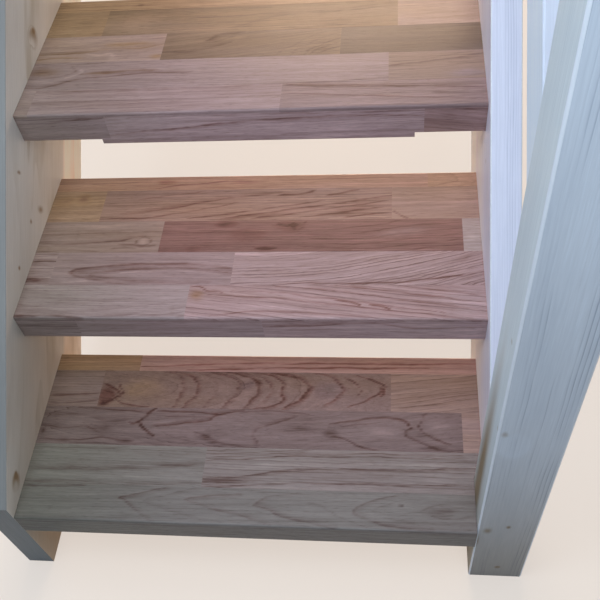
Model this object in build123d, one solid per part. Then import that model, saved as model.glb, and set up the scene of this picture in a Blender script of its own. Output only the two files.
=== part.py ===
from build123d import *
import math
import os

# A straight open-riser wooden flight: laminated treads housed between two closed stringers,
# with a newel, a middle rail and a handrail on the open side. Millimetres. +Z is up and +Y
# climbs. The origin is the centre of the bottom newel's foot, on the floor.

# Flight
tread_count = 6
rise = 190.0
going = 246.0
clear_width = 720.0

# Treads
tread_depth = 304.0
tread_thickness = 52.0
nosing_radius = 3.0
back_radius = 1.5

# Stringers
stringer_thickness = 44.0
stringer_depth = 300.0
stringer_margin = 24.0
stringer_easing = 2.0
housing_depth = 14.0
housing_stop = 20.0

# Newels
newel_size = 84.0
newel_inset = 14.0
newel_setback = 6.0
newel_head = 70.0
newel_drop = 60.0
newel_easing = 3.0
newel_top_bevel = 8.0

# Rails
mid_rail_clear = 305.0
mid_rail_depth = 97.0
mid_rail_thickness = 44.0
mid_rail_easing = 3.0
handrail_height = 900.0
handrail_depth = 62.0
handrail_width = 60.0
handrail_top_radius = 20.0
handrail_bottom_radius = 6.0

# Tenons and their pegs
tenon_thickness = 15.0
stringer_tenon_length = 46.0
stringer_tenon_shoulder = 48.0
rail_tenon_length = 38.0
mid_rail_tenon_height = 66.0
handrail_tenon_height = 36.0
peg_diameter = 12.0
peg_length = 62.0
peg_edge_distance = 40.0

# Top end, at the landing
hanger_thickness = 28.0
hanger_depth = 150.0
hanger_gap = 8.0

# The low strip under the front of one tread
strip_tread = 3
strip_thickness = 9.0
strip_depth = 40.0
strip_length = 487.0
strip_offset = 12.0

# Clearances
housing_clearance = 0.3
mortise_clearance = 0.3
notch_clearance = 1.5
peg_clearance = 0.15

# Derived places
pitch = math.atan2(rise, going)
half_newel = newel_size / 2
right_inner_x = newel_inset - half_newel
right_outer_x = right_inner_x + stringer_thickness
left_inner_x = right_inner_x - clear_width
left_outer_x = left_inner_x - stringer_thickness
centre_x = (left_inner_x + right_inner_x) / 2
first_nosing_y = -half_newel - newel_setback
last_tread_back_y = first_nosing_y + (tread_count - 1) * going + tread_depth
landing_face_y = last_tread_back_y + hanger_gap + hanger_thickness
top_newel_y = landing_face_y - half_newel
landing_height = (tread_count + 1) * rise
top_rise = stringer_margin / math.cos(pitch)
bottom_fall = (stringer_depth - stringer_margin) / math.cos(pitch)


def nosing_line(y):
    """Height of the line through the nosings at y."""
    return rise + (y - first_nosing_y) * rise / going


def nosing_y(number):
    """Where the nosing of tread 1, 2, 3 and so on stands."""
    return first_nosing_y + (number - 1) * going


def block(x0, x1, y0, y1, z0, z1):
    """A rectangular solid between two corners."""
    middle = ((x0 + x1) / 2, (y0 + y1) / 2, (z0 + z1) / 2)
    return Pos(*middle) * Box(x1 - x0, y1 - y0, z1 - z0)


def side_prism(points, x0, x1):
    """A side outline of (y, z) points, from x0 to x1."""
    outline = make_face(Polyline(*points, close=True))
    return extrude(Plane.YZ.offset(x0) * outline, amount=x1 - x0)


def tread_block(number, x0, x1, depth, play=0.0):
    """A tread from x0 to x1, or with play its housing, which still carries the tread's underside."""
    front = nosing_y(number) - play
    back = nosing_y(number) + depth + play
    top = number * rise + play
    bottom = number * rise - tread_thickness
    solid = block(x0, x1, front, back, bottom, top)
    solid = fillet(solid.edges().filter_by(Axis.X).sort_by(Axis.Y)[:2], nosing_radius)
    return fillet(solid.edges().filter_by(Axis.X).sort_by(Axis.Y)[-2:], back_radius)


def tread(number):
    """One tread, with its ends in the housings and notched round a newel that it meets."""
    left = left_inner_x - housing_depth + housing_clearance
    right = right_inner_x + housing_depth - housing_clearance
    solid = tread_block(number, left, right, tread_depth)
    solid -= newel_room(first_nosing_y, half_newel + notch_clearance)
    solid -= newel_room(top_newel_y - half_newel - notch_clearance, landing_face_y)
    solid -= stopped_corner(housing_clearance)
    return solid


def newel_room(front, back):
    """What a newel and the clearance round it take out of the treads between two y values."""
    return block(-half_newel - notch_clearance, half_newel, front, back, 0, landing_height)


def stopped_corner(play=0.0):
    """The wood between the left stringer's plumb cut and its lowest housing, or with play its room."""
    front = first_nosing_y - housing_clearance
    back = first_nosing_y + housing_stop + play
    return block(left_inner_x - housing_depth, left_inner_x + play, front, back, 0, landing_height)


def landing_nosing():
    """The board that carries the landing's edge, from the left housing to the top newel."""
    left = left_inner_x - housing_depth + housing_clearance
    return tread_block(tread_count + 1, left, -half_newel, landing_face_y - nosing_y(tread_count + 1))


def hanger_board(play=0.0):
    """The board under the landing nosing that is screwed to the landing, or with play its housing."""
    left = left_inner_x - housing_depth + housing_clearance - play
    top = landing_height - tread_thickness
    front = landing_face_y - hanger_thickness - play
    return block(left, -half_newel, front, landing_face_y, top - hanger_depth, top + play)


def underside_strip():
    """The strip that stands below the front of one tread, flush with the nosing."""
    middle = centre_x + strip_offset
    top = strip_tread * rise - tread_thickness
    front = nosing_y(strip_tread)
    x0 = middle - strip_length / 2
    x1 = middle + strip_length / 2
    solid = block(x0, x1, front, front + strip_depth, top - strip_thickness, top)
    return fillet(solid.edges().filter_by(Axis.X).group_by(Axis.Z)[0].sort_by(Axis.Y)[0], nosing_radius)


def stringer_plank(front_y, back_y, x0, x1):
    """A stringer between two plumb cuts, with its foot cut level on the floor."""
    foot_back = first_nosing_y + (bottom_fall - rise) * going / rise
    points = [
        (front_y, 0),
        (front_y, nosing_line(front_y) + top_rise),
        (back_y, nosing_line(back_y) + top_rise),
        (back_y, nosing_line(back_y) - bottom_fall),
        (foot_back, 0),
    ]
    plank = side_prism(points, x0, x1)
    long_edges = plank.edges().filter_by(lambda e: e.length > stringer_depth * 2)
    return fillet(long_edges, stringer_easing)


def left_stringer():
    """The stringer against the wall, from its plumb cut at the foot to the landing."""
    solid = stringer_plank(first_nosing_y, landing_face_y, left_outer_x, left_inner_x)
    bottom_of_housing = left_inner_x - housing_depth
    for number in range(1, tread_count + 1):
        housing = tread_block(number, bottom_of_housing, left_inner_x, tread_depth, housing_clearance)
        solid -= housing - stopped_corner()
    nosing_depth = landing_face_y - nosing_y(tread_count + 1)
    solid -= tread_block(tread_count + 1, bottom_of_housing, left_inner_x, nosing_depth, housing_clearance)
    solid -= hanger_board(housing_clearance)
    return solid


def tenon(face_y, direction, z0, z1, length, play=0.0):
    """A level tenon from a newel's face into the newel, or with play its mortise."""
    ends = sorted((face_y, face_y + direction * (length + play)))
    half = tenon_thickness / 2 + play
    return block(-half, half, ends[0], ends[1], z0, z1 + play)


def stringer_tenon(face_y, direction, play=0.0):
    """The right stringer's tenon into one newel."""
    low = max(nosing_line(face_y) - bottom_fall, 0) + stringer_tenon_shoulder
    high = nosing_line(face_y) + top_rise - stringer_tenon_shoulder
    return tenon(face_y, direction, low, high, stringer_tenon_length, play)


def rail_tenon(face_y, direction, centre, height, play=0.0):
    """A rail's tenon into one newel, around the height of the rail's middle there."""
    low = centre - height / 2
    return tenon(face_y, direction, low, low + height, rail_tenon_length, play)


def mid_rail_centre(y):
    return nosing_line(y) + (mid_rail_clear + mid_rail_depth / 2) / math.cos(pitch)


def handrail_centre(y):
    return nosing_line(y) + handrail_height - handrail_depth / 2 / math.cos(pitch)


# Each newel's face that the stringer and rails meet, and the way their tenons run into it
newel_faces = {0.0: (half_newel, -1), top_newel_y: (top_newel_y - half_newel, 1)}


def peg_places(newel_y):
    """Name and (y, z) centres of the pegs that hold each joint of one newel."""
    face_y, direction = newel_faces[newel_y]
    stringer_y = face_y + direction * stringer_tenon_length / 2
    rail_y = face_y + direction * rail_tenon_length / 2
    low = max(nosing_line(face_y) - bottom_fall, 0) + stringer_tenon_shoulder + peg_edge_distance
    high = nosing_line(face_y) + top_rise - stringer_tenon_shoulder - peg_edge_distance
    return {
        "stringer_pegs": [(stringer_y, low), (stringer_y, high)],
        "mid_rail_peg": [(rail_y, mid_rail_centre(face_y))],
        "handrail_peg": [(rail_y, handrail_centre(face_y))],
    }


def pegs(places, play=0.0):
    """Round pegs driven in from the newel's outer face, or with play their holes."""
    shape = Part()
    length = peg_length + play
    for y, z in places:
        shape += Pos(half_newel - length / 2, y, z) * Rot(0, 90, 0) * Cylinder(peg_diameter / 2 + play, length)
    return shape


def peg_holes(newel_y, joint):
    return pegs(peg_places(newel_y)[joint], peg_clearance)


def right_stringer():
    """The open side's stringer, tenoned into both newels."""
    bottom_face = newel_faces[0.0][0]
    top_face = newel_faces[top_newel_y][0]
    solid = stringer_plank(bottom_face, top_face, right_inner_x, right_outer_x)
    for number in range(1, tread_count + 1):
        bottom_of_housing = right_inner_x + housing_depth
        solid -= tread_block(number, right_inner_x, bottom_of_housing, tread_depth, housing_clearance)
    for newel_y, (face_y, direction) in newel_faces.items():
        solid += stringer_tenon(face_y, direction)
        solid -= peg_holes(newel_y, "stringer_pegs")
    return solid


def mid_rail():
    """The board rail half way up, parallel to the stringer."""
    bottom_face = newel_faces[0.0][0]
    top_face = newel_faces[top_newel_y][0]
    half_drop = mid_rail_depth / 2 / math.cos(pitch)
    points = [
        (bottom_face, mid_rail_centre(bottom_face) - half_drop),
        (bottom_face, mid_rail_centre(bottom_face) + half_drop),
        (top_face, mid_rail_centre(top_face) + half_drop),
        (top_face, mid_rail_centre(top_face) - half_drop),
    ]
    solid = side_prism(points, -mid_rail_thickness / 2, mid_rail_thickness / 2)
    solid = fillet(solid.edges().filter_by(lambda e: e.length > mid_rail_depth * 3), mid_rail_easing)
    for newel_y, (face_y, direction) in newel_faces.items():
        solid += rail_tenon(face_y, direction, mid_rail_centre(face_y), mid_rail_tenon_height)
        solid -= peg_holes(newel_y, "mid_rail_peg")
    return solid


def handrail():
    """The handrail, a moulded section along the pitch between the newels."""
    bottom_face = newel_faces[0.0][0]
    top_face = newel_faces[top_newel_y][0]
    middle_y = (bottom_face + top_face) / 2
    run = (top_face - bottom_face) / math.cos(pitch) + 2 * handrail_depth
    across = Plane(
        origin=(0, middle_y, handrail_centre(middle_y)),
        x_dir=(1, 0, 0),
        z_dir=(0, math.cos(pitch), math.sin(pitch)),
    )
    solid = extrude(across * Rectangle(handrail_width, handrail_depth), amount=run / 2, both=True)
    long_edges = solid.edges().filter_by(lambda e: e.length > run * 0.9).sort_by(Axis.Z)
    solid = fillet(long_edges[2:], handrail_top_radius)
    long_edges = solid.edges().filter_by(lambda e: e.length > run * 0.9).sort_by(Axis.Z)
    solid = fillet(long_edges[:2], handrail_bottom_radius)
    reach = top_newel_y + handrail_height + landing_height
    solid &= block(-handrail_width, handrail_width, bottom_face, top_face, 0, reach)
    for newel_y, (face_y, direction) in newel_faces.items():
        solid += rail_tenon(face_y, direction, handrail_centre(face_y), handrail_tenon_height)
        solid -= peg_holes(newel_y, "handrail_peg")
    return solid


def newel(newel_y):
    """A square post with eased arrises, mortised for the stringer and both rails."""
    face_y, direction = newel_faces[newel_y]
    top = nosing_line(face_y) + handrail_height + newel_head
    bottom = max(nosing_line(face_y) - bottom_fall - newel_drop, 0)
    solid = block(-half_newel, half_newel, newel_y - half_newel, newel_y + half_newel, bottom, top)
    solid = chamfer(solid.faces().sort_by(Axis.Z)[-1].edges(), newel_top_bevel)
    solid = fillet(solid.edges().filter_by(Axis.Z), newel_easing)
    solid -= stringer_tenon(face_y, direction, mortise_clearance)
    solid -= rail_tenon(face_y, direction, mid_rail_centre(face_y), mid_rail_tenon_height, mortise_clearance)
    solid -= rail_tenon(face_y, direction, handrail_centre(face_y), handrail_tenon_height, mortise_clearance)
    for joint in peg_places(newel_y):
        solid -= peg_holes(newel_y, joint)
    return solid


parts = {f"tread_{number}": tread(number) for number in range(1, tread_count + 1)}
parts[f"tread_{strip_tread}_underside_strip"] = underside_strip()
parts["landing_nosing"] = landing_nosing()
parts["hanger_board"] = hanger_board()
parts["left_stringer"] = left_stringer()
parts["right_stringer"] = right_stringer()
parts["bottom_newel"] = newel(0.0)
parts["top_newel"] = newel(top_newel_y)
parts["mid_rail"] = mid_rail()
parts["handrail"] = handrail()
for end, newel_y in (("bottom", 0.0), ("top", top_newel_y)):
    for joint, places in peg_places(newel_y).items():
        parts[f"{end}_{joint}"] = pegs(places)

os.makedirs("parts", exist_ok=True)
for name, solid in parts.items():
    export_step(solid, f"parts/{name}.step")
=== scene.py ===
import math
import random

import bpy
import numpy as np
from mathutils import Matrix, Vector, noise


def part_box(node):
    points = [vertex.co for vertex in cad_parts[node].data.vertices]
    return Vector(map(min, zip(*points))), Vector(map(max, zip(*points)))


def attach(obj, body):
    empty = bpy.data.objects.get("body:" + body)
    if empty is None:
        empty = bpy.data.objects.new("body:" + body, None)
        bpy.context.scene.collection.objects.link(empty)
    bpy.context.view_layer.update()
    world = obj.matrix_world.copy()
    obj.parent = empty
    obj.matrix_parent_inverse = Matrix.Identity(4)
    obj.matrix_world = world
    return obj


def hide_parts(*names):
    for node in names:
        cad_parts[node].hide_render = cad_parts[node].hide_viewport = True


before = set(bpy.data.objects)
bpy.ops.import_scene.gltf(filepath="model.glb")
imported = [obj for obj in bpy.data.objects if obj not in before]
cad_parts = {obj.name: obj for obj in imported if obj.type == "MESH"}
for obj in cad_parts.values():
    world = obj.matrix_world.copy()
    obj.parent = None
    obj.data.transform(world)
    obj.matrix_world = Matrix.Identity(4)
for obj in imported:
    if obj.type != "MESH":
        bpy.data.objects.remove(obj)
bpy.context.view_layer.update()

MM = 0.001

# The flight, read from the frame
treads = sorted(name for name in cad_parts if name.startswith("tread_") and name[6:].isdigit())
left_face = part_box("left_stringer")[1].x
right_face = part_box("right_stringer")[0].x
first_low, first_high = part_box(treads[0])
second_low, second_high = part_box(treads[1])
going = second_low.y - first_low.y
rise = second_high.z - first_high.z
pitch = math.atan2(rise, going)
uphill = Vector((0, math.cos(pitch), math.sin(pitch)))
off_pitch = Vector((0, -math.sin(pitch), math.cos(pitch)))
newel_gap = 0.4 * MM

# Treads: the edges of the rows of lamellae, in mm from the nosing back, and of the lamellae that
# face the nosing, in mm from the top down
row_edges = (0, 60, 129, 199, 271, 304)
second_tread_edges = (0, 64, 131, 199, 271, 304)
landing_edges = (0, 54, 94)
face_edges = (6, 50)
clear_width = 720
nosing_radius = 3.0 * MM
stopped_front = 20.4 * MM
stringer_gap = 0.4 * MM
back_radius = 1.5 * MM
seam = 0.12 * MM
face_lip = 6.0 * MM
face_thickness = 14.0 * MM
thin_strip = 10.0 * MM
fine_step = (4.0, 1.5)
coarse_step = (8.0, 3.5)
sharp_angle = math.radians(30)

# The noise that makes marks waver starts from the clock unless it has a seed
noise.seed_set(1)


def linear(red, green, blue):
    """A colour given as it shows on a screen, 0 to 255, as linear red, green, blue and alpha."""
    share = [c / 255 for c in (red, green, blue)]
    return tuple(c / 12.92 if c < 0.04045 else ((c + 0.055) / 1.055) ** 2.4 for c in share) + (1.0,)


class Nodes:
    """Short calls that add nodes to one tree and return the socket that they give."""

    def __init__(self, tree):
        self.tree = tree

    def add(self, kind, inputs=(), output=0, **settings):
        node = self.tree.nodes.new(kind)
        for key, value in settings.items():
            setattr(node, key, value)
        for key, value in dict(inputs).items():
            if isinstance(value, bpy.types.NodeSocket):
                self.tree.links.new(value, node.inputs[key])
            else:
                node.inputs[key].default_value = value
        return node.outputs[output]

    def math(self, operation, a, b=0.0, c=0.0, clamp=False):
        return self.add("ShaderNodeMath", {0: a, 1: b, 2: c}, operation=operation, use_clamp=clamp)

    def plus(self, a, b):
        return self.math("ADD", a, b)

    def minus(self, a, b):
        return self.math("SUBTRACT", a, b)

    def times(self, a, b, c=None):
        """a times b, and plus c where it is given."""
        return self.math("MULTIPLY", a, b) if c is None else self.math("MULTIPLY_ADD", a, b, c)

    def clamped(self, value):
        return self.math("ADD", value, clamp=True)

    def vector(self, operation, a, b=(0, 0, 0), c=(0, 0, 0)):
        return self.add("ShaderNodeVectorMath", {0: a, 1: b, 2: c}, operation=operation)

    def dot(self, a, b):
        return self.add("ShaderNodeVectorMath", {0: a, 1: b}, "Value", operation="DOT_PRODUCT")

    def length(self, a):
        return self.add("ShaderNodeVectorMath", {0: a}, "Value", operation="LENGTH")

    def parts(self, vector):
        node = self.add("ShaderNodeSeparateXYZ", {0: vector}).node
        return node.outputs[0], node.outputs[1], node.outputs[2]

    def joined(self, x, y, z):
        return self.add("ShaderNodeCombineXYZ", {0: x, 1: y, 2: z})

    def ramp(self, value, low, high, start=0.0, end=1.0):
        """The value's way from low to high as a smooth step from start to end."""
        sockets = {"Value": value, "From Min": low, "From Max": high, "To Min": start, "To Max": end}
        return self.add("ShaderNodeMapRange", sockets, interpolation_type="SMOOTHSTEP")

    def noise(self, place, stretch, detail=2.0, roughness=0.5):
        """Noise from 0 to 1 about 0.5, with so many waves a metre along each axis."""
        stretched = self.vector("MULTIPLY", place, stretch)
        return self.add("ShaderNodeTexNoise",
                        {"Vector": stretched, "Scale": 1.0, "Detail": detail, "Roughness": roughness})

    def sway(self, *wanted):
        """Noise about 0."""
        return self.minus(self.noise(*wanted), 0.5)

    def attribute(self, name):
        return self.add("ShaderNodeAttribute", output="Vector", attribute_name=name)

    def mix(self, share, a, b):
        return self.add("ShaderNodeMix", {"Factor": share, 6: a, 7: b}, 2, data_type="RGBA")

    def group(self, tree, inputs):
        return self.add("ShaderNodeGroup", inputs, node_tree=tree)


def new_group(name, inputs, outputs):
    """An empty node group with its sockets, given as name and kind."""
    tree = bpy.data.node_groups.new(name, "ShaderNodeTree")
    for in_out, sockets in (("INPUT", inputs), ("OUTPUT", outputs)):
        for label, kind in sockets:
            tree.interface.new_socket(label, in_out=in_out, socket_type="NodeSocket" + kind)
    return tree, Nodes(tree), tree.nodes.new("NodeGroupInput"), tree.nodes.new("NodeGroupOutput")


def make_spot_group():
    """From 1 at the centre of a soft oval down to 0 at its rim."""
    tree, nodes, given, result = new_group(
        "spot", [("Place", "Vector"), ("Centre", "Vector"), ("Reach", "Vector")], [("Inside", "Float")])
    away = nodes.vector("SUBTRACT", given.outputs["Place"], given.outputs["Centre"])
    share = nodes.length(nodes.vector("DIVIDE", away, given.outputs["Reach"]))
    tree.links.new(nodes.ramp(share, 0.0, 1.0, 1.0, 0.0), result.inputs["Inside"])
    return tree


def make_ring_group():
    """Growth rings: dark latewood lines and soft bands from the distance to the pith."""
    tree, nodes, given, result = new_group(
        "rings", [("Distance", "Float"), ("Spacing", "Float"), ("Share", "Float"), ("Seed", "Float")],
        [("Line", "Float"), ("Band", "Float")])
    count = nodes.math("DIVIDE", given.outputs["Distance"], given.outputs["Spacing"])
    count = nodes.plus(count, given.outputs["Seed"])
    ring = nodes.math("FLOOR", count)
    across = nodes.minus(count, ring)
    strength = nodes.add("ShaderNodeTexWhiteNoise", {"W": ring}, "Value", noise_dimensions="1D")
    start = nodes.minus(1.0, given.outputs["Share"])
    full = nodes.times(given.outputs["Share"], -0.35, 1.0)
    late = nodes.times(nodes.ramp(across, 0.15, 1.0), 0.32)
    late = nodes.times(nodes.ramp(across, start, full), 0.68, late)
    late = nodes.times(late, nodes.ramp(across, 0.965, 1.0, 1.0, 0.0))
    line = nodes.times(late, nodes.math("POWER", strength, 1.3))
    shade = nodes.plus(ring, 0.37)
    shade = nodes.add("ShaderNodeTexWhiteNoise", {"W": shade}, "Value", noise_dimensions="1D")
    tree.links.new(line, result.inputs["Line"])
    tree.links.new(shade, result.inputs["Band"])
    return tree


spot_group = make_spot_group()
ring_group = make_ring_group()


def ringed(nodes, distance, spacing, share, seed):
    """The node that lays growth rings at this distance from the pith."""
    sockets = {"Distance": distance, "Spacing": spacing, "Share": share, "Seed": seed}
    return nodes.group(ring_group, sockets).node


def knot(centre, size, dark, push=0.0):
    """A soft oval that darkens the wood and bends the rings out by so many metres."""
    return {"Centre": centre, "Reach": size}, (dark, 0.0, push)


def all_marks(nodes, place, marks):
    """The sum of what the marks do at this place, as dark, warm and push."""
    total = nodes.joined(0.0, 0.0, 0.0)
    if not marks:
        return total
    waver = nodes.add("ShaderNodeTexNoise", {"Vector": nodes.vector("MULTIPLY", place, (14, 60, 60)),
                                             "Scale": 1.0, "Detail": 3.0}, "Color")
    waver = nodes.vector("SUBTRACT", waver, (0.5, 0.5, 0.5))
    place = nodes.vector("MULTIPLY_ADD", waver, (0.012, 0.006, 0.006), place)
    for sockets, effect in marks:
        inside = nodes.group(spot_group, {"Place": place, **sockets})
        total = nodes.vector("MULTIPLY_ADD", inside, effect, total)
    return total


lacquer_gloss = 0.4
hardwood_relief = 0.00006
pine_relief = 0.00012


def wood_shader(nodes, material, color, roughness, height, depth):
    """A satin lacquered surface with the grain felt through it."""
    bump = nodes.add("ShaderNodeBump", {"Height": height, "Distance": depth, "Strength": 1.0})
    shader = material.node_tree.nodes["Principled BSDF"]
    shader.inputs["Specular IOR Level"].default_value = lacquer_gloss
    for key, socket in (("Base Color", color), ("Roughness", roughness), ("Normal", bump)):
        material.node_tree.links.new(socket, shader.inputs[key])


def new_material(name):
    material = bpy.data.materials.new(name)
    material.use_nodes = True
    nodes = Nodes(material.node_tree)
    place = nodes.add("ShaderNodeTexCoord", output="Object")
    return material, nodes, place


# Hardwood lamellae

grey = linear(160, 153, 151)
beige = linear(167, 143, 146)
tan = linear(178, 144, 116)
russet = linear(146, 101, 97)
latewood_tint = (0.38, 0.27, 0.24)
# Painted shade: the treads turn darker and greener towards the left stringer, where less light reaches them
wall_shade_tint = (0.75, 0.82, 0.72)
wall_shade_width = 0.30
pore_tint = (0.58, 0.52, 0.50)


def tread_material(name):
    """Laminated hardwood: each lamella's attributes say how it was cut and where it is marked."""
    material, nodes, place = new_material(name)
    dark, warm, red = nodes.parts(nodes.attribute("stain"))
    pith_x, pith_y, pith_z = nodes.parts(nodes.attribute("pith"))
    lean_y, lean_z, bow = nodes.parts(nodes.attribute("lean"))
    spacing, contrast, wobble = nodes.parts(nodes.attribute("growth"))
    share, streaks, push = nodes.parts(nodes.attribute("look"))
    light, warmth, redness = nodes.parts(nodes.attribute("tone"))
    chance = nodes.attribute("chance")
    seed = nodes.parts(chance)[0]
    x, y, z = nodes.parts(place)
    shifted = nodes.vector("ADD", place, chance)

    along = nodes.minus(x, pith_x)
    centre_y = nodes.times(along, lean_y, pith_y)
    centre_y = nodes.times(nodes.times(along, along), bow, centre_y)
    centre_z = nodes.times(along, lean_z, pith_z)
    off_y = nodes.minus(y, centre_y)
    off_z = nodes.minus(z, centre_z)
    distance = nodes.length(nodes.joined(off_y, off_z, 0.0))
    swing = nodes.sway(shifted, (5, 18, 18), 1.0)
    curl = nodes.sway(shifted, (22, 90, 90), 3.0)
    swing = nodes.times(curl, 0.28, swing)
    distance = nodes.times(swing, wobble, distance)
    distance = nodes.plus(distance, push)

    rings = ringed(nodes, distance, spacing, share, seed)
    fine = ringed(nodes, distance, nodes.times(spacing, 0.29), 0.3, seed)
    line = nodes.times(fine.outputs["Line"], 0.40, rings.outputs["Line"])
    band = nodes.minus(rings.outputs["Band"], 0.5)

    grain_place = nodes.vector("ADD", nodes.joined(x, off_y, off_z), chance)
    fibre = nodes.sway(grain_place, (24, 480, 480), 3.0, 0.65)
    streak = nodes.sway(grain_place, (5, 150, 150), 2.0, 0.6)
    pores = nodes.ramp(nodes.noise(grain_place, (70, 900, 900), 1.0), 0.55, 0.70)
    broad = nodes.sway(shifted, (3.0, 16, 16), 2.0)

    figure = nodes.times(nodes.times(band, 0.30, line), contrast)
    marked_dark = nodes.math("MAXIMUM", dark, 0.0)
    figure = nodes.plus(figure, dark)
    figure = nodes.times(broad, 0.35, figure)
    grain = nodes.times(streak, 1.1, nodes.times(fibre, 1.3))
    grain = nodes.times(grain, nodes.plus(streaks, nodes.times(marked_dark, 1.2)))
    figure = nodes.plus(figure, grain)
    warmth = nodes.plus(nodes.times(broad, 0.7, warmth), warm)
    redness = nodes.plus(nodes.times(dark, 0.25, redness), red)
    base = nodes.mix(nodes.ramp(warmth, -1.0, 0.0), grey, beige)
    base = nodes.mix(nodes.ramp(warmth, 0.0, 1.0), base, tan)
    base = nodes.mix(nodes.clamped(redness), base, russet)
    stained = nodes.vector("MULTIPLY", base, latewood_tint)
    color = nodes.mix(nodes.clamped(figure), base, stained)
    pored = nodes.vector("MULTIPLY", color, pore_tint)
    color = nodes.mix(nodes.times(pores, nodes.times(line, 0.5, 0.35)), color, pored)
    pale = nodes.times(nodes.math("MINIMUM", figure, 0.0), -0.8)
    gain = nodes.times(light, nodes.plus(pale, 1.0))
    color = nodes.vector("MULTIPLY", color, nodes.joined(gain, gain, gain))
    # Painted shade towards the left stringer
    in_wall_shade = nodes.ramp(x, left_face, left_face + wall_shade_width, 1.0, 0.0)
    color = nodes.mix(in_wall_shade, color, nodes.vector("MULTIPLY", color, wall_shade_tint))

    roughness = nodes.times(fibre, 0.25, 0.42)
    roughness = nodes.times(pores, 0.12, roughness)
    height = nodes.minus(nodes.times(fibre, 0.5), nodes.plus(pores, line))
    wood_shader(nodes, material, color, roughness, height, hardwood_relief)
    return material


# Marks in a lamella, in mm: u from the left stringer, and v from the nosing back or from the top
# down. Each mark is its cover, from 0 to 1, and its effect: dark, warm and red, and push in metres.

def falloff(reach):
    """From 1 at a mark's middle down to 0 at its rim, where the reach is 1."""
    left = np.clip(1 - reach, 0, 1)
    return left * left * (3 - 2 * left)


def spot(u, v, long, wide, dark, red=0, turn=0, warm=0, push=0):
    """A soft oval: a knot, a smudge or a pale patch."""
    cosine, sine = math.cos(math.radians(turn)), math.sin(math.radians(turn))

    def cover(us, vs):
        along = (us - u) * cosine + (vs - v) * sine
        across = (vs - v) * cosine - (us - u) * sine
        return falloff(np.hypot(along / long, across / wide))
    return cover, (dark, warm, red, push)


def curved(route, steps=4):
    """More points on a smooth curve through the given ones, which come as u, v, u, v."""
    points = list(zip(route[::2], route[1::2]))
    padded = [points[0], *points, points[-1]]
    result = [points[0]]
    for a, b, c, d in zip(padded, padded[1:], padded[2:], padded[3:]):
        for step in range(1, steps + 1):
            t = step / steps
            weights = (-t + 2 * t * t - t ** 3, 2 - 5 * t * t + 3 * t ** 3,
                       t + 4 * t * t - 3 * t ** 3, t ** 3 - t * t)
            result.append(tuple(sum(w * p[i] for w, p in zip(weights, (a, b, c, d))) / 2 for i in (0, 1)))
    return result


def line(route, width, dark, red=0, skirt=0, warm=0):
    """A line along the route, with a soft skirt to its left, or to its right if below zero."""
    points = curved(route)

    def cover(us, vs):
        nearest = np.full(us.shape, 1e9)
        side = np.zeros(us.shape)
        reached = np.zeros(us.shape)
        for number, ((u0, v0), (u1, v1)) in enumerate(zip(points, points[1:])):
            run_u, run_v = u1 - u0, v1 - v0
            run = math.hypot(run_u, run_v)
            share = np.clip(((us - u0) * run_u + (vs - v0) * run_v) / run ** 2, 0, 1)
            off_u, off_v = us - u0 - share * run_u, vs - v0 - share * run_v
            away = np.hypot(off_u, off_v)
            closer = away < nearest
            side = np.where(closer, off_v * run_u - off_u * run_v, side)
            reached = np.where(closer, (number + share) / (len(points) - 1), reached)
            nearest = np.minimum(nearest, away)
        taper = 0.35 + 0.65 * np.clip(np.minimum(reached, 1 - reached) / 0.15, 0, 1)
        core = falloff(nearest / (width * taper)) ** 1.3
        if skirt:
            core = np.maximum(core, 0.45 * falloff(nearest / abs(skirt)) * (side * skirt > 0))
        return core
    return cover, (dark, warm, red, 0)


def marked(marks, us, vs, seed):
    """The sum of the marks' effects at each place, with the places made to waver and to fade."""
    effects = np.zeros((4, len(us)))
    if marks:
        waver = np.array([noise.noise_vector((u / 45, v / 14, seed)) for u, v in zip(us, vs)])
        finer = np.array([noise.noise_vector((u / 12, v / 4, -seed)) for u, v in zip(us, vs)])
        us = us + 6.0 * waver[:, 0] + 1.5 * finer[:, 0]
        vs = vs + 2.2 * waver[:, 1] + 0.9 * finer[:, 1]
        fading = np.clip(1.15 + 0.9 * waver[:, 2] + 0.5 * finer[:, 2], 0.4, 1.7)
    for cover, effect in marks:
        effects += np.outer(effect, cover(us, vs) * fading)
    return effects


# How a lamella was cut: where the pith lies from its middle, how the pith leans over its length
# (sideways, up and bowing), how the rings grew (spacing, contrast, wobble) and how they look (the
# line's share of a ring, the strength of the fine streaks). Metres.
cut_keys = ("pith", "lean", "growth", "look")
cuts = {
    "straight": ((0, -0.30, -0.04), (0.006, 0, 0), (0.0052, 0.55, 0.006), (0.30, 1.0)),
    "fine": ((0, -0.42, -0.10), (-0.012, 0, 0), (0.0040, 0.35, 0.004), (0.30, 0.8)),
    "soft": ((0, -0.26, -0.05), (0.015, 0, 0), (0.016, 0.35, 0.010), (0.20, 0.8)),
    "bold": ((0.1, -0.22, -0.03), (0.03, 0, -0.05), (0.011, 0.80, 0.006), (0.22, 0.9)),
    "plain": ((0, -0.50, -0.20), (0.02, 0, 0), (0.007, 0.22, 0.008), (0.30, 0.9)),
    "rising": ((0, -0.34, -0.06), (0.13, 0, 0.05), (0.0075, 0.80, 0.012), (0.26, 0.9)),
    "rippled": ((-0.19, -0.34, -0.06), (0.02, 0, 0.42), (0.0052, 0.95, 0.022), (0.42, 0.9)),
    "falling": ((0, -0.34, -0.06), (-0.12, 0, 0.02), (0.0080, 0.70, 0.010), (0.26, 0.9)),
    "flames_left": ((0, 0.002, -0.045), (0, 0.085, 0), (0.0065, 0.55, 0.014), (0.15, 0.8)),
    "flames_right": ((0, -0.002, -0.050), (0, -0.10, 0), (0.0070, 0.70, 0.014), (0.15, 0.8)),
    "arcs": ((-0.2, 0.0, -0.005), (0.01, -0.24, 0), (0.0125, 0.45, 0.016), (0.10, 0.8)),
    "wild": ((0, 0.01, -0.055), (0.03, 0.06, 0.1), (0.0100, 0.55, 0.045), (0.14, 0.9)),
}


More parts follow.
